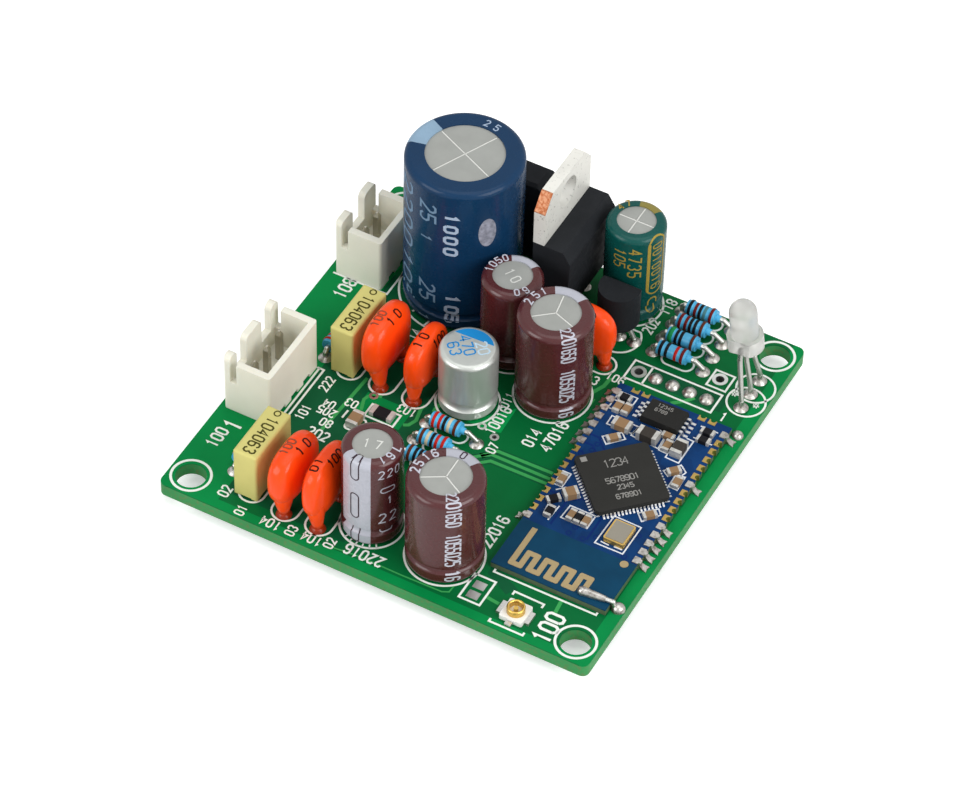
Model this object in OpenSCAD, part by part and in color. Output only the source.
// Wireless audio receiver board: a small radio module soldered to a carrier board with its power parts.
// Millimetres. The origin is the middle of the four fixing holes, on the carrier board's underside.
// +X runs along the front edge to the right, +Y from the front edge to the back, +Z up.

/* [Carrier board] */
// Width of the board, along X
board_w = 50; // [49.6:0.1:54]
// Depth of the board, along Y
board_d = 50; // [49.8:0.1:54]
// Thickness of the board
board_t = 1.6; // [1:0.1:2.4]
// Radius of the board's corners
board_corner_r = 0.8; // [0.2:0.1:2]
// Distance between the fixing holes, both ways
hole_pitch = 45; // [44.4:0.1:45.4]
// Diameter of the fixing holes
hole_d = 3.3; // [2.7:0.1:3.4]
// Length that the trimmed leads stand out below the board
stub = 1.5; // [1.2:0.1:3]

/* [Leads and solder] */
// Diameter of the thin wire leads
wire_d = 0.55; // [0.4:0.05:0.6]
// Diameter of the rectifier's leads
thick_wire_d = 0.8; // [0.6:0.05:0.9]
// Side of the square header pins
pin_w = 0.64; // [0.5:0.02:0.7]
// Room between a lead and the edge of its hole
hole_room = 0.2; // [0.1:0.05:0.3]
// Diameter of a solder pad
pad_d = 1.6; // [1.4:0.05:1.7]
// Height of the solder above the board round a lead
fillet_h = 0.35; // [0.15:0.05:0.4]
// Height of the solder cone below the board
cone_h = 1.1; // [0.6:0.1:1.15]
// Thickness of bare plated copper
plating = 0.05; // [0.03:0.01:0.1]
// Height of the solder dome that fills an empty hole
dome_h = 0.55; // [0.2:0.05:0.8]

/* [Headers] */
// Distance between header pins
pin_pitch = 2.5; // [2.4:0.02:2.6]
// Depth of a header housing, along X
header_d = 5.6; // [5.4:0.05:5.8]
// Height of a header housing
header_h = 7; // [6.6:0.1:9]
// Height of the tabs on the wall at the board's edge
tab_top = 7.7; // [6.6:0.1:9]
// Rounding of the housing's upright corners
header_corner_r = 0.35; // [0.1:0.05:0.5]
// Distance from the outer pin to the end of the housing
header_end = 2.45; // [2.2:0.05:2.6]
// Thickness of the long plain wall
header_wall = 0.65; // [0.5:0.05:0.9]
// Thickness of the long wall with the tabs
tab_wall = 0.8; // [0.6:0.05:1]
// Thickness of the end walls
header_end_wall = 0.8; // [0.6:0.05:1]
// Thickness of the floor, with the channels below it
header_floor = 1.8; // [1.3:0.1:2.4]
// Height of the solder channels under the housing
foot_h = 0.5; // [0.3:0.1:0.7]
// Width of the solder channels under the housing
foot_w = 1.3; // [1:0.1:1.6]
// Height of a pin's tip above the board
pin_h = 5.95; // [5:0.05:6.4]
// Distance from the tabbed wall's outer face to the pins
pin_back = 2.35; // [2.1:0.05:2.6]
// Width of the slots between the tabbed wall and the end walls
slot_w = 0.8; // [0.6:0.1:1.3]
// Height of the floor of the slots and of the gaps between tabs
slot_z = 4.2; // [3:0.1:5]
// Length of the gap between two tabs of the long header
tab_gap = 1.95; // [1.2:0.05:2.2]
// Length of the single gap of the short header
wide_gap = 2.5; // [2:0.1:3.6]
// Rounding of the tab tops
tab_r = 0.65; // [0.3:0.05:0.7]

/* [Round capacitors] */
// Diameter of the large blue smoothing capacitor
smoothing_d = 12.8; // [11:0.1:13]
// Height of the large blue smoothing capacitor
smoothing_h = 20.4; // [14:0.1:25]
// Diameter of the green capacitor
green_d = 6.5; // [5.4:0.1:6.6]
// Height of the green capacitor
green_h = 12.7; // [8:0.1:16]
// Diameter of the middle capacitor
middle_d = 8.15; // [7.4:0.05:8.5]
// Height of the middle capacitor
middle_h = 12.5; // [8:0.1:16]
// Diameter of the small capacitor behind the silver one
small_d = 6.6; // [5.4:0.1:6.8]
// Height of the small capacitor behind the silver one
small_h = 11.5; // [8:0.1:16]
// Diameter of the striped capacitor at the front edge
striped_d = 6.4; // [5.4:0.1:6.4]
// Height of the striped capacitor at the front edge
striped_h = 12.3; // [8:0.1:16]
// Diameter of the wide capacitor at the front edge
front_d = 8.2; // [7.4:0.1:8.6]
// Height of the wide capacitor at the front edge
front_h = 12.2; // [8:0.1:16]
// Diameter of the silver polymer capacitor
polymer_d = 6.3; // [5.4:0.1:6.4]
// Height of the silver polymer capacitor
polymer_h = 8.3; // [6:0.1:12]
// Thickness of the shrink sleeve
sleeve_t = 0.15; // [0.1:0.05:0.25]
// Share of the top that the sleeve leaves bare
window = 0.68; // [0.55:0.01:0.8]
// Depth of the groove rolled into each can near its foot
groove_depth = 0.35; // [0.2:0.05:0.45]
// Height of that groove above the board
groove_z = 2.1; // [1.6:0.1:2.6]
// Depth of the pressure vent's grooves in the top of a can
vent_depth = 0.1; // [0.05:0.05:0.3]
// Width of the vent's grooves
vent_w = 0.2; // [0.1:0.05:0.4]

/* [Film and dipped capacitors] */
// Width of a yellow film capacitor, along X
film_w = 2.8; // [2.2:0.1:3]
// Length of a yellow film capacitor, along Y
film_l = 7.2; // [6.6:0.1:7.4]
// Height of a yellow film capacitor above the board
film_h = 6.7; // [5:0.1:9]
// Rounding of its edges
film_r = 0.3; // [0.1:0.05:0.4]
// Height of the feet that it stands on
film_foot = 0.3; // [0.2:0.05:0.5]
// Distance between the two leads of film and dipped capacitors
cap_pitch = 5; // [4.6:0.1:5.2]
// Thickness of a large dipped capacitor
dipped_thick = 3.3; // [2.6:0.1:3.4]
// Thickness of a small dipped capacitor
dipped_thin = 2.8; // [2.4:0.1:2.9]
// Length of a large dipped capacitor
dipped_long = 7.8; // [7:0.1:8]
// Length of a small dipped capacitor
dipped_short = 7.2; // [6.8:0.1:7.4]
// Height of a large dipped capacitor above the board
dipped_h = 8.6; // [7:0.1:11]
// Height of a small dipped capacitor above the board
dipped_small_h = 7.9; // [6.6:0.1:10]
// Diameter of the coating where it runs down each lead
dipped_neck_d = 1.1; // [0.9:0.05:1.3]

/* [Regulator] */
// Width of the regulator's tab and body, along Y
regulator_w = 10.2; // [9.4:0.1:10.6]
// Thickness of the metal tab
tab_t = 1.3; // [1:0.05:1.5]
// Height of the tab above the plastic
tab_h = 6.4; // [5.8:0.1:7.4]
// Diameter of the tab's fixing hole
tab_hole_d = 3.7; // [3.2:0.1:3.9]
// Distance from the tab's top to the middle of its hole
tab_hole_drop = 2.8; // [2.5:0.1:3.2]
// Width of the cut corners of the tab
tab_cut = 1.5; // [0.8:0.1:1.8]
// Thickness of the regulator with its tab, along X
regulator_t = 4.4; // [4:0.1:4.5]
// Height of the plastic body
regulator_h = 9.1; // [8.4:0.1:10]
// Height of the body's foot above the board
regulator_lift = 3.3; // [2.6:0.1:5]
// Distance between the regulator's leads
regulator_pitch = 2.54; // [2.4:0.02:2.7]
// Width of a lead's shoulder
shoulder_w = 1.3; // [1.2:0.05:1.5]
// Width of a lead below its shoulder
blade_w = 0.8; // [0.6:0.05:0.9]
// Thickness of a lead
blade_t = 0.5; // [0.4:0.05:0.6]

/* [Rectifier] */
// Width of the bridge rectifier, along X
rectifier_w = 14.5; // [13.4:0.1:14.8]
// Thickness of the rectifier, along Y
rectifier_t = 3.3; // [2.8:0.1:3.5]
// Height of the rectifier's body
rectifier_h = 11; // [9:0.1:12]
// Height of the body's foot above the board
rectifier_lift = 1.2; // [0.5:0.1:3]
// Side of the cut corner that marks the rectifier's positive lead
rectifier_cut = 2.7; // [2:0.1:3.5]
// Distance between the rectifier's leads
rectifier_pitch = 3.8; // [3.6:0.05:4]

/* [Transistor] */
// Diameter of the transistor's round side
transistor_d = 4.6; // [4.2:0.1:4.8]
// Depth from its round side to its flat
transistor_depth = 3.6; // [3.2:0.1:3.8]
// Height of the transistor's body
transistor_h = 4.7; // [4.2:0.1:5.4]
// Height of its foot above the board
transistor_lift = 2.55; // [2:0.05:3.5]
// Distance between its holes in the board
transistor_pitch = 1.78; // [1.7:0.02:1.9]
// Distance between its leads at the body
transistor_top_pitch = 1.27; // [1.2:0.01:1.35]

/* [Axial resistors] */
// Length of a resistor's body
resistor_l = 3.4; // [3:0.1:3.8]
// Diameter of a resistor's ends
resistor_d = 1.8; // [1.6:0.05:1.9]
// Distance between a resistor's two holes
resistor_span = 5.9; // [5.8:0.1:6.2]
// Height of a resistor's axis above the board
resistor_z = 1.15; // [1.1:0.05:1.4]
// Size of the cut corner where its near lead turns down
bend_cut = 0.3; // [0.2:0.05:0.4]

/* [Indicator light] */
// Diameter of the lens
lens_d = 3; // [2.8:0.1:3.2]
// Diameter of the flange
flange_d = 3.9; // [3.6:0.1:4.4]
// Height of the flange
flange_h = 1.7; // [1:0.1:2]
// Height of the whole lens
lens_h = 6.2; // [4.6:0.1:7]
// Height of the flange's foot above the board
lens_lift = 7; // [4:0.1:10]
// Lean of the lens to the left, in degrees
lens_lean = 8; // [0:1:10]
// Distance between the light's holes in the board
lens_pitch = 2.2; // [2.1:0.05:2.4]

/* [Radio module] */
// Width of the module's board, along X
module_w = 13.15; // [13:0.05:13.2]
// Length of the module's board, along Y
module_l = 28.4; // [28.2:0.1:28.6]
// Thickness of the module's board
module_t = 0.8; // [0.6:0.05:1.2]
// Distance between its edge contacts
contact_pitch = 1.31; // [1.28:0.01:1.32]
// Diameter of the half round edge contacts
contact_d = 0.7; // [0.5:0.05:0.8]
// Reach of a contact's pad in from the edge
contact_reach = 0.65; // [0.5:0.05:0.66]
// Width of a contact's pad along the edge
contact_w = 0.85; // [0.7:0.05:0.95]
// Reach of the soldered joints out from the edge
joint_reach = 1; // [0.7:0.1:1.2]
// Side of the radio chip, which stands on its corner
chip_side = 8; // [7.6:0.1:8.1]
// Height of the radio chip
chip_h = 0.85; // [0.6:0.05:1.2]
// Distance between the radio chip's terminals
terminal_pitch = 0.4; // [0.36:0.01:0.42]
// Length of the tinned land that shows beside each radio chip terminal
terminal_show = 0.4; // [0.3:0.02:0.44]
// Width of the memory chip's body, along X
memory_w = 4.4; // [4.1:0.1:4.5]
// Length of the memory chip's body, along Y
memory_l = 2.8; // [2.6:0.1:3.1]
// Height of the memory chip
memory_h = 1.05; // [0.9:0.05:1.3]
// Distance between the memory chip's leads
memory_pitch = 0.65; // [0.6:0.01:0.7]
// Width of the crystal, along X
crystal_w = 2.4; // [2.2:0.1:2.5]
// Length of the crystal, along Y
crystal_l = 2.9; // [2.6:0.1:3]
// Height of the crystal
crystal_h = 0.7; // [0.5:0.05:1]
// Width of the antenna track
track_w = 0.62; // [0.4:0.02:0.7]
// Distance between the antenna track's bars
track_pitch = 1.02; // [0.98:0.01:1.06]
// Length of the antenna's short bars
track_l = 2.6; // [2:0.1:3]
// Length of the antenna's first bar
track_first_l = 5.5; // [4:0.1:6]

/* [Antenna socket] */
// Side of the antenna socket's base
socket_side = 2.6; // [2.4:0.1:2.8]
// Height of the socket's base
socket_base_h = 0.55; // [0.4:0.05:0.8]
// Outer diameter of the socket's ring
socket_ring_d = 1.95; // [1.8:0.05:2.1]
// Wall of the ring
socket_ring_wall = 0.3; // [0.1:0.02:0.36]
// Height of the socket above the board
socket_h = 1.3; // [1:0.05:1.6]

/* [Hidden] */
$fn = 48;

// Small overlap that lets a cut break through a face
eps = 0.01;
// How far a cut runs past the piece that it opens
past = 1;
// Growth of the ball that joins two runs of a bent lead
joint_grow = 0.02;
lead_foot = -stub;
// Height above the board at which a lead is clear of its solder
lead_free_z = fillet_h + 0.15;

// Places on the board, as [x, y]
output_header_at = [-24.45, -12.55];
ac_header_at = [-24.15, 10.15];
smoothing_at = [-11.1, 14.8];
green_at = [5.7, 21.9];
middle_at = [4.55, 6.1];
small_at = [-2.3, 9.4];
striped_at = [-3, -18.9];
front_at = [5.5, -18.95];
polymer_at = [-2.7, 0.75];
rear_film_at = [-16.05, 1.05];
front_film_at = [-16.05, -18.8];
rear_left_at = [-11.6, 0.4];
rear_right_at = [-7.6, 0.4];
front_left_at = [-11.5, -19.8];
front_right_at = [-7.5, -19.8];
dipped_middle_at = [4.9, 12.35];
regulator_at = [-2.35, 13.9];
// Distance from the tab's back face to the middle of the leads
regulator_lead_in = 2.6;
rectifier_at = [-10.65, 23.1];
transistor_at = [6.78, 16.92];
lens_at = [22.66, 16.32];
socket_at = [15.55, -22.3];
module_at = [10.3, -18];
pad_row_at = [11, 13.35];
pad_row_pitch = 2;
pad_row_filled = 4;
single_pad_at = [18.95, 16.63];
test_pads = [[10.6, -20.8], [10.6, -22.2]];
test_pad_size = [1.3, 1];
vias = [[0.33, -1.63], [2.19, -2.35], [-11.6, -3.5]];
via_d = 0.5;
open_hole_d = 0.95;
open_pad_d = 1.7;

// Axial resistors as [x, y, turn] of the first hole; the body lies along the turn
right_resistors = [for (row = [0 : 3]) [10.95, 16.7 + 2.25 * row, 0]];
middle_resistors = [for (row = [0 : 2]) [-4.9, -4.08 - 2.65 * row, 0]];
left_resistors = [[-18.75, -1.25, 90], [-18.85, -19.75, 90]];
resistors = concat(right_resistors, middle_resistors, left_resistors);

// Round capacitors as [place, diameter, height, lead pitch, turn of the lead pair, arms of the vent, its turn]
smoothing = [smoothing_at, smoothing_d, smoothing_h, 5, 0, 4, 65];
green = [green_at, green_d, green_h, 2.5, 60, 4, 0];
middle = [middle_at, middle_d, middle_h, 3.5, 60, 3, 100];
small = [small_at, small_d, small_h, 2.5, 60, 0, 0];
striped = [striped_at, striped_d, striped_h, 2.5, 30, 0, 0];
front = [front_at, front_d, front_h, 3.5, 60, 3, 91];
polymer = [polymer_at, polymer_d, polymer_h, 2.5, 60, 0, 0];
round_capacitors = [smoothing, green, middle, small, striped, front, polymer];

// Dipped capacitors as [place, turn, thickness, length, height, sideways shift of the body]
dipped = [
    [rear_left_at, 90, dipped_thick, dipped_long, dipped_h, 0.75],
    [rear_right_at, 90, dipped_thin, dipped_short, dipped_small_h, 0],
    [front_left_at, 90, dipped_thick, dipped_long, dipped_small_h, 0.3],
    [front_right_at, 90, dipped_thin, dipped_long, dipped_h, 0.4],
    [dipped_middle_at, 0, dipped_thin, dipped_short, dipped_small_h, 0]
];

function turned(p, a) = [p[0] * cos(a) - p[1] * sin(a), p[0] * sin(a) + p[1] * cos(a)];
function pair(at, pitch, turn) = [for (s = [-0.5, 0.5]) at + turned([s * pitch, 0], turn)];
function row(n, pitch) = [for (i = [0 : n - 1]) (i - (n - 1) / 2) * pitch];
function flat(lists) = [for (list = lists) for (item = list) item];
function wires(points, d, top) = [for (p = points) [p[0], p[1], d, top]];

// Every round lead through the board as [x, y, diameter, 1 where solder stands above the board]
can_leads = flat([for (c = round_capacitors) wires(pair(c[0], c[3], c[4]), wire_d, 0)]);
film_leads = flat([for (at = [rear_film_at, front_film_at]) wires(pair(at, cap_pitch, 90), wire_d, 0)]);
dipped_leads_at = flat([for (c = dipped) wires(pair(c[0], cap_pitch, c[1]), wire_d, 1)]);
rectifier_leads_at = wires([for (x = row(4, rectifier_pitch)) rectifier_at + [x, 0]], thick_wire_d, 1);
transistor_leads_at = wires([for (x = row(3, transistor_pitch)) transistor_at + [x, 0]], wire_d, 1);
lens_leads_at = wires([for (y = row(3, lens_pitch)) lens_at + [0, y]], wire_d, 1);
resistor_leads_at = flat([for (r = resistors)
    wires([for (x = [0, resistor_span]) [r[0], r[1]] + turned([x, 0], r[2])], wire_d, 1)]);
round_leads = concat(can_leads, film_leads, dipped_leads_at, rectifier_leads_at,
    transistor_leads_at, lens_leads_at, resistor_leads_at);

// Header pins and regulator blades through the board, as [x, y, width along X, width along Y]
function header_length(n) = (n - 1) * pin_pitch + 2 * header_end;
function header_pins_at(at, n) = [for (i = [0 : n - 1]) at + [pin_back, header_end + i * pin_pitch]];
output_pins_at = header_pins_at(output_header_at, 3);
ac_pins_at = header_pins_at(ac_header_at, 2);
regulator_lead_x = regulator_at[0] + regulator_lead_in;
regulator_mid_y = regulator_at[1] + regulator_w / 2;
regulator_leads_at = [for (y = row(3, regulator_pitch)) [regulator_lead_x, regulator_mid_y + y]];
square_leads = concat(
    [for (p = concat(output_pins_at, ac_pins_at)) [p[0], p[1], pin_w, pin_w]],
    [for (p = regulator_leads_at) [p[0], p[1], blade_t, blade_w]]);
function square_hole_d(s) = sqrt(s[2] * s[2] + s[3] * s[3]) + 2 * hole_room;

open_holes = [pad_row_at, single_pad_at];
filled_holes = [for (i = [1 : pad_row_filled]) pad_row_at + [i * pad_row_pitch, 0]];

// Shapes used by several parts

module rounded(w, d, r) {
    square([w - 2 * r, d], center = true);
    square([w, d - 2 * r], center = true);
    for (x = [-1, 1], y = [-1, 1]) translate([x * (w / 2 - r), y * (d / 2 - r)]) circle(r);
}

// A block whose twelve edges are all rounded by the same radius
module soft_block(w, d, h, r) {
    intersection() {
        linear_extrude(h) rounded(w, d, r);
        translate([0, d / 2, h / 2]) rotate([90, 0, 0]) linear_extrude(d) rounded(w, h, r);
        translate([-w / 2, 0, h / 2]) rotate([90, 0, 90]) linear_extrude(w) rounded(d, h, r);
    }
}

// A rod that starts along +Z and turns towards +X at ball joints, given as steps of [straight run, turn]
module bent_rod(d, steps, i = 0) {
    cylinder(d = d, h = steps[i][0]);
    if (i < len(steps) - 1) translate([0, 0, steps[i][0]]) {
        sphere(d / 2 + joint_grow);
        rotate([0, steps[i][1], 0]) bent_rod(d, steps, i + 1);
    }
}

// A lead that climbs from the foot, slants from low_z to high_z over to the head, and climbs to top_z
module jogged_rod(d, foot, head, low_z, high_z, top_z) {
    offset = [head[0] - foot[0], head[1] - foot[1]];
    reach = norm(offset);
    slope = atan2(reach, high_z - low_z);
    translate([foot[0], foot[1], lead_foot]) rotate([0, 0, atan2(offset[1], offset[0])])
        bent_rod(d, [
            [low_z - lead_foot, slope],
            [norm([reach, high_z - low_z]), -slope],
            [top_z - high_z, 0]
        ]);
}

// Carrier board and its solder

module circuit_board() {
    color("forestgreen") linear_extrude(board_t) difference() {
        rounded(board_w, board_d, board_corner_r);
        for (x = [-0.5, 0.5], y = [-0.5, 0.5]) translate([x, y] * hole_pitch) circle(d = hole_d);
        for (p = round_leads) translate([p[0], p[1]]) circle(d = p[2] + 2 * hole_room);
        for (s = square_leads) translate([s[0], s[1]]) circle(d = square_hole_d(s));
        for (p = concat(open_holes, filled_holes)) translate(p) circle(d = open_hole_d + 2 * plating);
        for (p = vias) translate(p) circle(d = via_d + 2 * plating);
    }
}

// A plated hole: a thin tube through the board with a thin ring on each face
module eyelet(hole, ring) {
    rotate_extrude() {
        translate([hole / 2, -plating]) square([plating, board_t + 2 * plating]);
        for (z = [-plating, board_t]) translate([hole / 2, z]) square([(ring - hole) / 2, plating]);
    }
}

module open_pads() {
    color("silver") {
        for (p = open_holes) translate(p) eyelet(open_hole_d, open_pad_d);
        for (p = vias) translate(p) eyelet(via_d, via_d + 0.5);
        for (p = test_pads) translate([p[0], p[1], board_t])
            linear_extrude(plating) square(test_pad_size, center = true);
    }
}

// Half section of the solder round a lead: a low fillet above, the filled hole, and a hollow cone below
module solder_section(core, hole, top) {
    pad = pad_d / 2;
    rim = core + 0.1;
    polygon(concat(
        top == 1 ? [[core, board_t + fillet_h], [rim, board_t + fillet_h],
            [(rim + pad) / 2, board_t + fillet_h * 0.62], [pad, board_t + fillet_h * 0.12], [pad, board_t]]
            : [[core, board_t]],
        [[hole, board_t], [hole, 0], [pad, 0], [pad, -cone_h * 0.06],
            [rim + (pad - rim) * 0.5, -cone_h * 0.25], [rim + (pad - rim) * 0.18, -cone_h * 0.6],
            [rim, -cone_h], [core, -cone_h]]));
}

module solder_joints() {
    color("lightgray") {
        for (p = round_leads) translate([p[0], p[1]])
            rotate_extrude() solder_section(p[2] / 2, p[2] / 2 + hole_room, p[3]);
        for (s = square_leads) translate([s[0], s[1]]) difference() {
            rotate_extrude() solder_section(0, square_hole_d(s) / 2, 0);
            translate([-s[2] / 2, -s[3] / 2, -2 * stub]) cube([s[2], s[3], board_t + 3 * stub]);
        }
        for (p = filled_holes) translate(p) filled_hole();
    }
}

// Cap of a ball that stands on z = 0
module dome(d, h) {
    ball = (d * d / 4 + h * h) / (2 * h);
    intersection() {
        translate([0, 0, h - ball]) sphere(ball);
        cylinder(d = d + past, h = 2 * h);
    }
}

// Solder that fills an empty hole and stands as a dome on both faces
module filled_hole() {
    cylinder(d = open_hole_d + 2 * plating, h = board_t);
    translate([0, 0, board_t]) dome(pad_d, dome_h);
    rotate([180, 0, 0]) dome(pad_d, dome_h);
}

// Headers

// The wall at the board's edge, cut into tabs with rounded tops, as a flat shape of length by height
module tabbed_wall(n) {
    length = header_length(n);
    gap = n == 2 ? wide_gap : tab_gap;
    middles = n == 2 ? [length / 2] : [header_end, length - header_end];
    starts = concat([0], [for (m = middles) m + gap / 2]);
    ends = concat([for (m = middles) m - gap / 2], [length]);
    square([length, slot_z]);
    for (i = [0 : len(starts) - 1]) {
        translate([starts[i], 0]) square([ends[i] - starts[i], tab_top - tab_r]);
        translate([starts[i] + tab_r, 0]) square([ends[i] - starts[i] - 2 * tab_r, tab_top]);
        for (y = [starts[i] + tab_r, ends[i] - tab_r]) translate([y, tab_top - tab_r]) circle(tab_r);
    }
}

module header_housing(at, n) {
    length = header_length(n);
    inner = header_d - header_wall - tab_wall;
    translate([at[0], at[1], board_t]) color("ivory") difference() {
        intersection() {
            translate([header_d / 2, length / 2, 0]) linear_extrude(header_h + tab_top)
                rounded(header_d, length, header_corner_r);
            union() {
                translate([tab_wall, 0, 0]) cube([header_d - tab_wall, length, header_h]);
                rotate([90, 0, 90]) linear_extrude(tab_wall) tabbed_wall(n);
            }
        }
        translate([tab_wall, header_end_wall, header_floor])
            cube([inner, length - 2 * header_end_wall, header_h]);
        translate([tab_wall, -past, slot_z]) cube([slot_w, length + 2 * past, header_h]);
        for (i = [0 : n - 1]) translate([0, header_end + i * pin_pitch, 0]) {
            translate([-past, -foot_w / 2, -past]) cube([header_d + 2 * past, foot_w, foot_h + past]);
            translate([pin_back - pin_w / 2, -pin_w / 2, -past]) cube([pin_w, pin_w, header_floor + 2 * past]);
        }
    }
}

// Side view of a square pin with a four sided point
module pin_outline() {
    tip = pin_w * 0.8;
    polygon([[-pin_w / 2, lead_foot], [pin_w / 2, lead_foot], [pin_w / 2, board_t + pin_h - tip],
        [pin_w / 6, board_t + pin_h], [-pin_w / 6, board_t + pin_h], [-pin_w / 2, board_t + pin_h - tip]]);
}

module header_pins(places) {
    color("silver") for (p = places) translate(p) intersection() {
        translate([0, pin_w / 2, 0]) rotate([90, 0, 0]) linear_extrude(pin_w) pin_outline();
        translate([-pin_w / 2, 0, 0]) rotate([90, 0, 90]) linear_extrude(pin_w) pin_outline();
    }
}

module output_header_housing() { header_housing(output_header_at, 3); }
module output_header_pins() { header_pins(output_pins_at); }
module ac_header_housing() { header_housing(ac_header_at, 2); }
module ac_header_pins() { header_pins(ac_pins_at); }

// Round capacitors

seal_h = 1.2;
seal_lift = 0.15;
socket_depth = 0.8;
edge_r = 0.55;
// Shares of the can's radius taken by the seal, and left open by the sleeve under the foot
seal_share = 0.72;
foot_window = 0.85;

// Half section of a can with a rounded top edge, a rolled groove and a rounded foot
module can_section(r, h, grow) {
    groove_r = 0.75;
    difference() {
        union() {
            translate([0, seal_lift - grow]) square([r - edge_r, h - seal_lift + 2 * grow]);
            translate([0, seal_lift + edge_r]) square([r + grow, h - seal_lift - 2 * edge_r]);
            translate([r - edge_r, h - edge_r]) circle(edge_r + grow);
            translate([r - edge_r, seal_lift + edge_r]) circle(edge_r + grow);
        }
        translate([r + groove_r - groove_depth, groove_z]) circle(groove_r - grow);
        translate([-2 * r, -past]) square([2 * r, h + 3 * past]);
    }
}

// Radius and height of the metal can inside its sleeve
function can_r(c) = c[1] / 2 - sleeve_t;
function can_h(c) = c[2] - sleeve_t;
function seal_r(c) = can_r(c) * seal_share;

// Solid metal can with the seal's recess in its foot and the vent's grooves in its top
module can(c) {
    r = can_r(c);
    h = can_h(c);
    translate([c[0][0], c[0][1], board_t]) difference() {
        rotate_extrude() can_section(r, h, 0);
        translate([0, 0, -past]) cylinder(r = seal_r(c), h = seal_h + past);
        for (i = [0 : 1 : c[5] - 1]) rotate([0, 0, c[6] + i * 360 / c[5]])
            translate([-vent_w / 2, -vent_w / 2, h - vent_depth]) cube([r * window, vent_w, past]);
    }
}

// Shrink sleeve: the can's outline grown by the sleeve, open over the middle of the top and under the foot
module sleeve(c) {
    r = can_r(c);
    h = can_h(c);
    translate([c[0][0], c[0][1], board_t]) rotate_extrude() difference() {
        can_section(r, h, sleeve_t);
        can_section(r, h, 0);
        square([window * r, h + past]);
        square([foot_window * r, seal_lift]);
    }
}

module smoothing_can() { color("lightgray") can(smoothing); }
module smoothing_sleeve() { color("midnightblue") sleeve(smoothing); }
module green_can() { color("lightgray") can(green); }
module green_sleeve() { color("darkslategray") sleeve(green); }
module middle_can() { color("lightgray") can(middle); }
module middle_sleeve() { color("#5a3035") sleeve(middle); }
module small_can() { color("lightgray") can(small); }
module small_sleeve() { color("#5a3035") sleeve(small); }
module striped_can() { color("lightgray") can(striped); }
module striped_sleeve() { color("#5a3035") sleeve(striped); }
module front_can() { color("lightgray") can(front); }
module front_sleeve() { color("#5a3035") sleeve(front); }

// The polymer capacitor has a bare can, as wide as its own diameter
module polymer_can() {
    color("gainsboro") translate([polymer_at[0], polymer_at[1], board_t]) difference() {
        rotate_extrude() can_section(polymer_d / 2, polymer_h, 0);
        translate([0, 0, -past]) cylinder(r = seal_r(polymer), h = seal_h + past);
    }
}

// Rubber seal in the foot of each can, standing on the board, with sockets for the two leads
module capacitor_seals() {
    color("dimgray") for (c = round_capacitors) translate([c[0][0], c[0][1], board_t]) difference() {
        cylinder(r = seal_r(c), h = seal_h);
        for (p = pair([0, 0], c[3], c[4])) translate([p[0], p[1], -past])
            cylinder(d = wire_d, h = socket_depth + past);
    }
}

module straight_leads(places, top) {
    color("silver") for (p = places) translate([p[0], p[1], lead_foot]) cylinder(d = p[2], h = top - lead_foot);
}

module capacitor_leads() { straight_leads(can_leads, board_t + socket_depth); }

// Film and dipped capacitors

// Moulded box on four feet, with sockets for its leads
module film_capacitor(at) {
    foot_l = 0.8;
    translate([at[0], at[1], board_t]) color("khaki") difference() {
        soft_block(film_w, film_l, film_h, film_r);
        translate([-film_w, -film_l / 2 + foot_l, -past]) cube([2 * film_w, film_l - 2 * foot_l, film_foot + past]);
        translate([-film_w / 4, -film_l, -past]) cube([film_w / 2, 2 * film_l, film_foot + past]);
        for (p = pair([0, 0], cap_pitch, 90)) translate([p[0], p[1], -past])
            cylinder(d = wire_d, h = film_foot + socket_depth + past);
    }
}

module rear_film_capacitor() { film_capacitor(rear_film_at); }
module front_film_capacitor() { film_capacitor(front_film_at); }
module film_capacitor_leads() { straight_leads(film_leads, board_t + film_foot + socket_depth); }

// Points of a ring whose outline is a rounded rectangle of half sizes a and b, at height z
function ring(a, b, z, sides, power) = [for (i = [0 : sides - 1]) let (t = i * 360 / sides)
    [a * sign(cos(t)) * pow(abs(cos(t)), 2 / power), b * sign(sin(t)) * pow(abs(sin(t)), 2 / power), z]];

// A closed skin over a stack of rings with the same number of points
module skin(rings) {
    n = len(rings[0]);
    m = len(rings);
    polyhedron(points = flat(rings), faces = concat(
        [[for (i = [0 : n - 1]) i]],
        [[for (i = [n - 1 : -1 : 0]) (m - 1) * n + i]],
        flat([for (k = [0 : m - 2]) flat([for (i = [0 : n - 1]) let (j = (i + 1) % n)
            [[k * n + i, (k + 1) * n + j, k * n + j], [k * n + i, (k + 1) * n + i, (k + 1) * n + j]]])])));
}

// Dipped body: a plump pillow on two tapered legs of coating that run down the leads
module dipped_capacitor(c) {
    sides = 28;
    levels = 12;
    foot = fillet_h + eps;
    low = 1.5;
    h = c[4];
    a = c[3] / 2;
    b = c[2] / 2;
    mid = (low + h) / 2;
    half = (h - low) / 2;
    leg_top = mid - half * 0.25;
    translate([c[0][0], c[0][1], board_t]) rotate([0, 0, c[1]]) color("orangered") {
        translate([0, c[5], 0]) skin([for (k = [0 : levels]) let (
            u = -cos(k * 180 / levels) * 0.995,
            s = pow(1 - pow(abs(u), 2.6), 1 / 2.6))
            ring(a * (0.12 + 0.88 * s), b * (0.1 + 0.9 * s), mid + half * u, sides, 2.7)]);
        for (x = [-1, 1]) hull() {
            translate([x * cap_pitch / 2, 0, foot]) cylinder(d = dipped_neck_d, h = 0.5, $fn = 20);
            translate([x * (a - b * 1.05), c[5], leg_top]) sphere(b * 0.86, $fn = 20);
        }
    }
}

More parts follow.
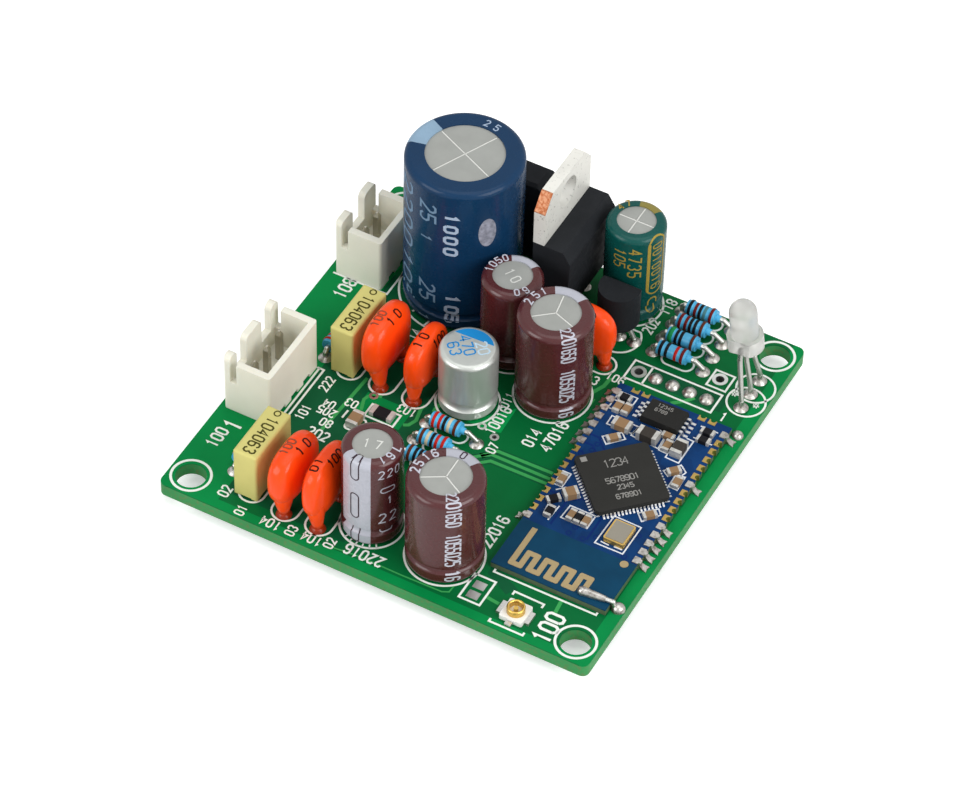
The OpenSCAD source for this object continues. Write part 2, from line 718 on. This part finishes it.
module dipped_rear_left() { dipped_capacitor(dipped[0]); }
module dipped_rear_right() { dipped_capacitor(dipped[1]); }
module dipped_front_left() { dipped_capacitor(dipped[2]); }
module dipped_front_right() { dipped_capacitor(dipped[3]); }
module dipped_middle() { dipped_capacitor(dipped[4]); }
module dipped_leads() { straight_leads(dipped_leads_at, board_t + fillet_h + eps); }

// Regulator with its upright metal tab

regulator_z = board_t + regulator_lift;
tab_inset = 1.1;
tab_foot = 0.9;

// Face of the tab: full width above the plastic, narrower where the plastic wraps it
module tab_face() {
    top = regulator_h + tab_h;
    cut_z = top - tab_cut * 1.2;
    far = regulator_w - tab_inset;
    difference() {
        polygon([[tab_inset, tab_foot], [far, tab_foot], [far, regulator_h], [regulator_w, regulator_h],
            [regulator_w, cut_z], [regulator_w - tab_cut, top], [tab_cut, top], [0, cut_z],
            [0, regulator_h], [tab_inset, regulator_h]]);
        translate([regulator_w / 2, top - tab_hole_drop]) circle(d = tab_hole_d);
    }
}

module on_regulator() {
    translate([regulator_at[0], regulator_at[1], regulator_z]) children();
}

module tab_plate() { rotate([90, 0, 90]) linear_extrude(tab_t) tab_face(); }
module regulator_tab() { color("silver") on_regulator() tab_plate(); }

// Moulded body: a sloped top edge, a shallow step along the front and sockets for the leads
module regulator_body() {
    slope = 1;
    color("#26262a") on_regulator() difference() {
        translate([0, regulator_w, 0]) rotate([90, 0, 0]) linear_extrude(regulator_w)
            polygon([[0, 0], [regulator_t - 0.25, 0], [regulator_t, regulator_h - 1.4 * slope],
                [regulator_t - 0.85 * slope, regulator_h], [0, regulator_h]]);
        tab_plate();
        translate([0, regulator_w / 2, 0]) for (y = row(3, regulator_pitch))
            translate([regulator_lead_in - blade_t / 2, y - shoulder_w / 2, -past]) cube([blade_t, shoulder_w, past + socket_depth]);
    }
}

// Flat lead with a wide shoulder that stops on the board and a narrow blade through it
module regulator_lead_face() {
    translate([-shoulder_w / 2, board_t]) square([shoulder_w, regulator_lift + socket_depth]);
    translate([-blade_w / 2, lead_foot]) square([blade_w, board_t - lead_foot]);
}

module regulator_leads() {
    color("silver") for (p = regulator_leads_at) translate([p[0] - blade_t / 2, p[1], 0])
        rotate([90, 0, 90]) linear_extrude(blade_t) regulator_lead_face();
}

// Bridge rectifier: a flat body with one cut corner on four leads

module rectifier_body() {
    half = rectifier_w / 2;
    bevel = 0.35;
    translate([rectifier_at[0], rectifier_at[1], board_t + rectifier_lift]) color("#2b2b2e") difference() {
        translate([0, rectifier_t / 2, 0]) rotate([90, 0, 0]) linear_extrude(rectifier_t)
            polygon([[-half, 0], [half, 0], [half, rectifier_h - rectifier_cut],
                [half - rectifier_cut, rectifier_h], [-half, rectifier_h]]);
        for (y = [-1, 1]) translate([0, y * rectifier_t / 2, rectifier_h]) rotate([45, 0, 0])
            cube([rectifier_w + 2 * past, bevel * sqrt(2), bevel * sqrt(2)], center = true);
        for (x = row(4, rectifier_pitch)) translate([x, 0, -past]) cylinder(d = thick_wire_d, h = past + socket_depth);
    }
}

module rectifier_leads() { straight_leads(rectifier_leads_at, board_t + rectifier_lift + socket_depth); }

// Transistor: a D shaped body with a bevel above its flat

transistor_mid = transistor_at + [-0.33, 0.2];
transistor_lead_back = 0.1;
function transistor_heads() = [for (x = row(3, transistor_top_pitch)) transistor_mid + [x, -transistor_lead_back]];

module transistor_rods() {
    heads = transistor_heads();
    for (i = [0 : 2]) jogged_rod(wire_d, transistor_leads_at[i], heads[i], board_t + lead_free_z,
        board_t + transistor_lift - wire_d, board_t + transistor_lift + socket_depth);
}

module transistor_body() {
    r = transistor_d / 2;
    flat_y = transistor_depth - r;
    bevel = 0.9;
    color("#232326") difference() {
        translate([transistor_mid[0], transistor_mid[1], board_t + transistor_lift]) difference() {
            cylinder(r = r, h = transistor_h);
            translate([-r - past, flat_y, -past]) cube([2 * r + 2 * past, r, transistor_h + 2 * past]);
            translate([0, flat_y, transistor_h]) rotate([45, 0, 0])
                cube([2 * r + 2 * past, bevel, bevel], center = true);
        }
        transistor_rods();
    }
}

module transistor_leads() { color("silver") transistor_rods(); }

// Axial resistors

// Distance from a resistor's first hole to the near end of its body
resistor_start = 0.65;
// Length of the coating that tapers onto the far lead
coat_l = 0.5;

module on_resistor(r) { translate([r[0], r[1], board_t]) rotate([0, 0, r[2]]) children(); }

// Body with swollen ends, a thinner waist and a tapered coat on the far lead
module resistor_bodies() {
    r = resistor_d / 2;
    l = resistor_l;
    end = 0.9;
    waist = 0.1;
    color("deepskyblue") for (place = resistors) on_resistor(place)
        translate([resistor_start, 0, resistor_z]) rotate([0, 90, 0]) rotate_extrude() {
            square([r - waist, l]);
            for (y = [end / 2, l - end / 2]) {
                translate([0, y - end / 2]) square([r - end / 2, end]);
                translate([r - end / 2, y]) intersection() {
                    circle(end / 2);
                    square([end, end + eps], center = true);
                }
            }
            polygon([[0, l - eps], [r - end / 2, l - eps], [wire_d / 2 + 0.08, l + coat_l], [0, l + coat_l]]);
        }
}

// The near lead turns straight down, and the far one slopes down to its hole
module resistor_leads() {
    far_end = resistor_start + resistor_l + coat_l;
    out = 0.4;
    drop = resistor_z - lead_free_z;
    across = resistor_span - far_end - out;
    slope = atan2(drop, across);
    color("silver") for (place = resistors) on_resistor(place) {
        translate([resistor_start, 0, resistor_z]) rotate([0, -90, 0])
            bent_rod(wire_d, [[resistor_start - bend_cut, -45], [bend_cut * sqrt(2), -45],
                [resistor_z - bend_cut + board_t + stub, 0]]);
        translate([far_end, 0, resistor_z]) rotate([0, 90, 0])
            bent_rod(wire_d, [[out, slope], [norm([drop, across]), 90 - slope],
                [lead_free_z + board_t + stub, 0]]);
    }
}

// Indicator light on three long leads

lens_base = [lens_at[0] - 0.95, lens_at[1], board_t + lens_lift];
lens_lead_pitch = 1.27;

module lens_rods() {
    for (i = [0 : 2]) jogged_rod(wire_d, lens_leads_at[i],
        [lens_base[0], lens_base[1] + (i - 1) * lens_lead_pitch],
        board_t + 2 * lead_free_z, lens_base[2] - 2 * wire_d, lens_base[2] + flange_h / 2);
}

module indicator_lens() {
    color("white") difference() {
        translate(lens_base) rotate([0, -lens_lean, 0]) difference() {
            union() {
                cylinder(d = flange_d, h = flange_h);
                cylinder(d = lens_d, h = lens_h - lens_d / 2);
                translate([0, 0, lens_h - lens_d / 2]) sphere(d = lens_d);
            }
            translate([-flange_d, -flange_d - lens_d / 2 - 0.05, -past]) cube([2 * flange_d, flange_d, flange_h + past]);
        }
        lens_rods();
    }
}

module indicator_leads() { color("silver") lens_rods(); }

// Antenna socket: a moulded base, a ring with two ground tabs, and a centre pin with its own tab

module on_socket() { translate([socket_at[0], socket_at[1], board_t]) children(); }

ground_w = 1.6;
ground_l = 0.55;
ground_h = 0.35;
contact_pin_d = 0.5;
signal_w = 0.7;

// The metal that runs through the base to the tabs outside it
module socket_ground() {
    for (x = [-1, 1]) translate([x * (socket_side / 2 + ground_l) - ground_l * (x + 1) / 2, -ground_w / 2, 0])
        cube([ground_l, ground_w, ground_h]);
    translate([-socket_side / 2 - eps, -ground_w / 4, ground_h / 2])
        cube([socket_side + 2 * eps, ground_w / 2, ground_h / 2]);
}

module socket_signal() {
    translate([-signal_w / 2, -socket_side / 2 - ground_l, 0]) cube([signal_w, ground_l, ground_h]);
    translate([-signal_w / 4, -socket_side / 2 - eps, 0]) cube([signal_w / 2, socket_side / 2 + eps, ground_h / 3]);
}

module antenna_socket_shell() {
    r = socket_ring_d / 2;
    lip = socket_ring_wall / 2;
    color("goldenrod") on_socket() {
        difference() {
            union() {
                socket_ground();
                translate([0, 0, ground_h / 2]) cylinder(r = r, h = socket_h - lip - ground_h / 2);
            }
            translate([0, 0, -past]) cylinder(r = r - socket_ring_wall, h = socket_h + 2 * past);
        }
        translate([0, 0, socket_h - lip]) rotate_extrude() translate([r - lip, 0]) intersection() {
            circle(lip);
            translate([-lip, 0]) square(2 * lip);
        }
    }
}

module antenna_socket_contact() {
    color("gold") on_socket() {
        socket_signal();
        cylinder(d = contact_pin_d, h = socket_h * 0.8);
    }
}

module antenna_socket_base() {
    color("snow") on_socket() difference() {
        translate([0, 0, 0]) linear_extrude(socket_base_h) rounded(socket_side, socket_side, 0.2);
        socket_ground();
        socket_signal();
        cylinder(d = contact_pin_d, h = socket_h);
        difference() {
            translate([0, 0, ground_h / 2]) cylinder(d = socket_ring_d, h = socket_h);
            translate([0, 0, -past]) cylinder(d = socket_ring_d - 2 * socket_ring_wall, h = socket_h + 2 * past);
        }
    }
}

// Radio module

module_z = board_t;
module_top = board_t + module_t;
side_contacts = 16;
first_contact = 1.35;
back_contacts = [2, 3.2, 9.8, 11];
soldered_right = [0, 6, 11, 12, 13, 14, 15];
soldered_left = [0, 1, 2, 3, 4, 5, 6, 15];
joint_coat = 0.07;
corner_dome_d = 1.3;
corner_dome_gap = 0.05;
function contact_y(i) = module_l - first_contact - i * contact_pitch;

module on_module(z) { translate([module_at[0], module_at[1], z]) children(); }

// Puts a child, drawn at the origin with +X outwards, at every edge contact
module at_contacts() {
    for (i = [0 : side_contacts - 1]) {
        translate([module_w, contact_y(i)]) children();
        translate([0, contact_y(i)]) rotate(180) children();
    }
    for (x = back_contacts) translate([x, module_l]) rotate(90) children();
}

module module_board() {
    color("#15418c") on_module(module_z) linear_extrude(module_t) difference() {
        square([module_w, module_l]);
        at_contacts() circle(d = contact_d);
    }
}

// Each contact lines its notch and spreads as a small pad on the top face
module module_contacts() {
    color("darkgoldenrod") {
        on_module(module_z) linear_extrude(module_t) at_contacts() contact_lining();
        on_module(module_top) linear_extrude(plating) at_contacts() difference() {
            translate([-contact_reach, -contact_w / 2]) square([contact_reach, contact_w]);
            circle(d = contact_d - 2 * plating);
        }
    }
}

module contact_lining() {
    difference() {
        circle(d = contact_d);
        circle(d = contact_d - 2 * plating);
        translate([0, -contact_d]) square([contact_d, 2 * contact_d]);
    }
}

// Solder at one contact: it fills the notch, coats the pad and runs down outside to a spreading foot
module edge_joint() {
    rise = module_t + plating;
    top = rise + joint_coat;
    cylinder(d = contact_d - 2 * plating, h = top);
    translate([-contact_reach, -contact_w / 2, rise]) cube([contact_reach, contact_w, joint_coat]);
    intersection() {
        translate([0, contact_w / 2, 0]) rotate([90, 0, 0]) linear_extrude(contact_w)
            polygon([[0, 0], [joint_reach, 0], [joint_reach, 0.12], [joint_reach * 0.55, 0.25],
                [joint_reach * 0.25, rise * 0.6], [joint_reach * 0.12, top], [0, top]]);
        linear_extrude(module_t + past) polygon([[0, -contact_w * 0.28], [joint_reach, -contact_w / 2],
            [joint_reach * 0.88, 0], [joint_reach, contact_w / 2], [0, contact_w * 0.28]]);
    }
}

module module_solder() {
    color("lightgray") {
        on_module(module_z) for (i = soldered_right) translate([module_w, contact_y(i), 0]) edge_joint();
        on_module(module_z) for (i = soldered_left) translate([0, contact_y(i), 0]) rotate([0, 0, 180]) edge_joint();
        link_joint();
        link_mound();
        translate([module_at[0] + module_w + corner_dome_gap + corner_dome_d / 2, module_at[1] + module_l, board_t])
            dome(corner_dome_d, dome_h);
    }
}

// Folded antenna track and the round sighting mark beside it, as thin bare metal
track_bars = 9;
track_start = [1.85, 0.6];
dot_at = [11.9, 6.25];
dot_d = 1.05;

module antenna_track() { color("darkkhaki") track_metal(); }

module track_metal() {
    on_module(module_top) linear_extrude(plating) {
        translate(track_start) for (i = [0 : track_bars - 1]) {
            bar = i == 0 ? track_first_l : track_l;
            translate([i * track_pitch - track_w / 2, 0]) square([track_w, bar]);
            if (i < track_bars - 1) translate([i * track_pitch - track_w / 2, i % 2 == 0 ? 0 : track_l - track_w])
                square([track_pitch + track_w, track_w]);
        }
        translate(dot_at) circle(d = dot_d);
    }
}

// Bare wire from the track's end over the module's edge to a pad on the carrier board
link_d = 0.5;
link_bend = 75;
link_end = 0.6;
link_turn = 4;
link_mound_l = 2.6;
link_start = track_start + [(track_bars - 1) * track_pitch, track_w / 2];
link_run = module_w - link_start[0] + link_d * 0.55;
link_drop = module_t + plating - joint_grow;

module link_rod() {
    on_module(module_top + plating + link_d / 2) translate(link_start) rotate([0, 90, link_turn])
        bent_rod(link_d, [[link_run, link_bend], [link_drop / sin(link_bend), -link_bend], [link_end, 0]]);
}

module antenna_link() { color("lightgray") link_rod(); }

// Solder that holds the wire's end on the carrier board
module link_joint() {
    r = 0.75;
    h = 0.75;
    reach = link_run + link_drop / tan(link_bend) + link_end / 2;
    difference() {
        on_module(board_t) translate(link_start + turned([reach, 0.2], link_turn)) intersection() {
            translate([0, 0, h - r]) sphere(r);
            translate([-r, -r, 0]) cube(2 * r);
        }
        link_rod();
    }
}

// Long mound of solder that lays the wire's start on the track and on the module
module link_mound() {
    wide_r = 0.5;
    narrow_r = 0.33;
    difference() {
        intersection() {
            on_module(module_top + plating + link_d / 2) translate(link_start) rotate([0, 90, link_turn]) {
                sphere(wide_r);
                cylinder(r1 = wide_r, r2 = narrow_r, h = link_mound_l);
            }
            on_module(module_top) cube([module_w, module_l, 2 * wide_r]);
        }
        link_rod();
        track_metal();
    }
}

// Radio chip, turned to stand on its corner

chip_at = [6.6, 16.05];
chip_turn = 45;
chip_terminals = 17;
terminal_t = 0.3;
terminal_w = 0.2;
terminal_under = 0.3;

module on_chip(z) { on_module(module_top + z) translate(chip_at) rotate(chip_turn) children(); }

module radio_chip() {
    notch = 0.35;
    color("#2e2e30") union() {
        on_chip(terminal_t) linear_extrude(chip_h - terminal_t) polygon([
            [-chip_side / 2 + notch, -chip_side / 2], [chip_side / 2 - notch, -chip_side / 2],
            [chip_side / 2, -chip_side / 2 + notch], [chip_side / 2, chip_side / 2 - notch],
            [chip_side / 2 - notch, chip_side / 2], [-chip_side / 2 + notch, chip_side / 2],
            [-chip_side / 2, chip_side / 2 - notch], [-chip_side / 2, -chip_side / 2 + notch]]);
        on_chip(0) linear_extrude((terminal_t + chip_h) / 2) square(chip_side - 2 * terminal_under, center = true);
    }
}

// Side view of a terminal under the body's edge, with solder that slopes down to its land
module terminal_section() {
    polygon([[-terminal_under, 0], [terminal_show, 0], [terminal_show, plating], [terminal_show * 0.25, 0.12],
        [0, terminal_t], [-terminal_under, terminal_t]]);
}

module radio_chip_terminals() {
    color("silver") on_chip(0) for (side = [0 : 3]) rotate([0, 0, side * 90])
        for (y = row(chip_terminals, terminal_pitch)) translate([chip_side / 2, y + terminal_w / 2, 0])
            rotate([90, 0, 0]) linear_extrude(terminal_w) terminal_section();
}

// Memory chip with four formed leads on each side

memory_at = [6.5, 25.85];
memory_lift = 0.1;
leg_t = 0.15;
leg_w = 0.3;
leg_reach = 1;

module memory_chip() {
    slope = 0.12;
    z = memory_h - memory_lift;
    color("#2a2a2c") on_module(module_top + memory_lift) translate([memory_at[0], memory_at[1] + memory_l / 2, 0])
        rotate([90, 0, 0]) linear_extrude(memory_l) polygon([
            [-memory_w / 2 + slope, 0], [memory_w / 2 - slope, 0], [memory_w / 2, z / 2],
            [memory_w / 2 - slope, z], [-memory_w / 2 + slope, z], [-memory_w / 2, z / 2]]);
}

// Side view of a lead: out from the body, down, and out again along the module
module leg_section() {
    shoulder = memory_lift + (memory_h - memory_lift) / 2;
    knee = leg_reach * 0.4;
    polygon([[0, shoulder], [knee, shoulder], [knee + leg_t, leg_t], [leg_reach, leg_t], [leg_reach, 0],
        [knee, 0], [knee - leg_t, shoulder - leg_t], [0.12, shoulder - leg_t]]);
}

module memory_chip_leads() {
    color("silver") on_module(module_top) translate(memory_at) for (side = [0, 180]) rotate([0, 0, side])
        for (y = row(4, memory_pitch)) translate([memory_w / 2, y + leg_w / 2, 0])
            rotate([90, 0, 0]) linear_extrude(leg_w) leg_section();
}

// Crystal: a plated base with a rim, and a grey lid that sits inside the rim

crystal_at = [9.8, 9.45];
lid_in = 0.18;
lid_t = 0.12;

module on_crystal(z) { on_module(module_top + z) translate(crystal_at) children(); }

module crystal_base() {
    color("gold") on_crystal(0) difference() {
        linear_extrude(crystal_h - lid_t / 2) rounded(crystal_w, crystal_l, 0.2);
        translate([0, 0, crystal_h - lid_t]) linear_extrude(past) rounded(crystal_w - 2 * lid_in, crystal_l - 2 * lid_in, 0.1);
    }
}

module crystal_lid() {
    color("darkgray") on_crystal(crystal_h - lid_t)
        linear_extrude(lid_t) rounded(crystal_w - 2 * lid_in, crystal_l - 2 * lid_in, 0.1);
}

// Surface mounted chips as [x, y, turn, length, width, height, kind], on the module or on the carrier
// Kinds: 0 capacitor, 1 resistor, 2 inductor
small_chip = [1.5, 0.8, 0.5];
large_chip = [2, 1.25, 0.8];

function chip(x, y, turn, size, kind) = [x, y, turn, size[0], size[1], size[2], kind];

module_chips = [
    chip(1.55, 26.5, 0, small_chip, 1), chip(1.5, 25, 90, small_chip, 0), chip(2.45, 25.1, 90, small_chip, 0),
    chip(3.1, 22.8, 0, large_chip, 0), chip(3.1, 20.9, 45, small_chip, 0),
    chip(6.2, 22.7, 0, [2.3, 1.3, 1.1], 2), chip(7.95, 23.9, 0, [1.4, 0.7, 0.5], 0),
    chip(8.5, 22.65, 90, small_chip, 0), chip(9.8, 22.75, 90, [2, 1.25, 0.95], 2),
    chip(11.3, 26.4, 0, small_chip, 1), chip(11.4, 25.2, 0, small_chip, 1),
    chip(10.7, 19.9, 45, small_chip, 0), chip(11.7, 18.65, 90, small_chip, 0),
    chip(1.15, 13.2, 90, [1.5, 0.75, 0.5], 0), chip(2.9, 11.8, 45, [1.6, 1.2, 0.8], 0),
    chip(1.65, 10.4, 45, small_chip, 1), chip(2.1, 8.7, 90, small_chip, 1),
    chip(4.3, 9.35, 90, [1.5, 0.7, 0.5], 0), chip(5.15, 9.35, 90, [1.5, 0.7, 0.5], 1),
    chip(6, 9.35, 90, [1.5, 0.7, 0.5], 0), chip(11.3, 13.3, 45, small_chip, 0)
];
carrier_chips = [
    chip(-9.45, -5.45, 0, [2.6, 1.3, 0.55], 1), chip(-11.45, -7.7, 90, [2, 1.25, 0.9], 0)
];
end_share = 0.2;

module chip_places() {
    for (c = module_chips) on_module(module_top) translate([c[0], c[1]]) rotate([0, 0, c[2]]) placed(c) children();
    for (c = carrier_chips) translate([c[0], c[1], board_t]) rotate([0, 0, c[2]]) placed(c) children();
}

// Hands the chip's sizes to the drawing modules below
module placed(c) {
    $chip = c;
    children();
}

module chip_bodies(kind) {
    chip_places() if ($chip[6] == kind) {
        l = $chip[3] * (1 - 2 * end_share);
        translate([-l / 2, -$chip[4] / 2, 0]) cube([l, $chip[4], $chip[5]]);
    }
}

module chip_capacitors() { color("tan") chip_bodies(0); }
module chip_resistors() { color("#222222") chip_bodies(1); }
module chip_inductors() { color("#33302e") chip_bodies(2); }

// Tinned end caps, a little wider than the chip
module chip_ends() {
    color("lightgray") chip_places() for (side = [0, 180]) rotate([0, 0, side]) {
        l = $chip[3] * end_share;
        translate([$chip[3] / 2 - l, -$chip[4] / 2, 0]) cube([l, $chip[4], $chip[5]]);
    }
}

circuit_board();
open_pads();
solder_joints();
output_header_housing();
output_header_pins();
ac_header_housing();
ac_header_pins();
smoothing_can();
smoothing_sleeve();
green_can();
green_sleeve();
middle_can();
middle_sleeve();
small_can();
small_sleeve();
striped_can();
striped_sleeve();
front_can();
front_sleeve();
polymer_can();
capacitor_seals();
capacitor_leads();
rear_film_capacitor();
front_film_capacitor();
film_capacitor_leads();
dipped_rear_left();
dipped_rear_right();
dipped_front_left();
dipped_front_right();
dipped_middle();
dipped_leads();
regulator_tab();
regulator_body();
regulator_leads();
rectifier_body();
rectifier_leads();
transistor_body();
transistor_leads();
resistor_bodies();
resistor_leads();
indicator_lens();
indicator_leads();
antenna_socket_base();
antenna_socket_shell();
antenna_socket_contact();
module_board();
module_contacts();
module_solder();
antenna_track();
antenna_link();
radio_chip();
radio_chip_terminals();
memory_chip();
memory_chip_leads();
crystal_base();
crystal_lid();
chip_capacitors();
chip_resistors();
chip_inductors();
chip_ends();
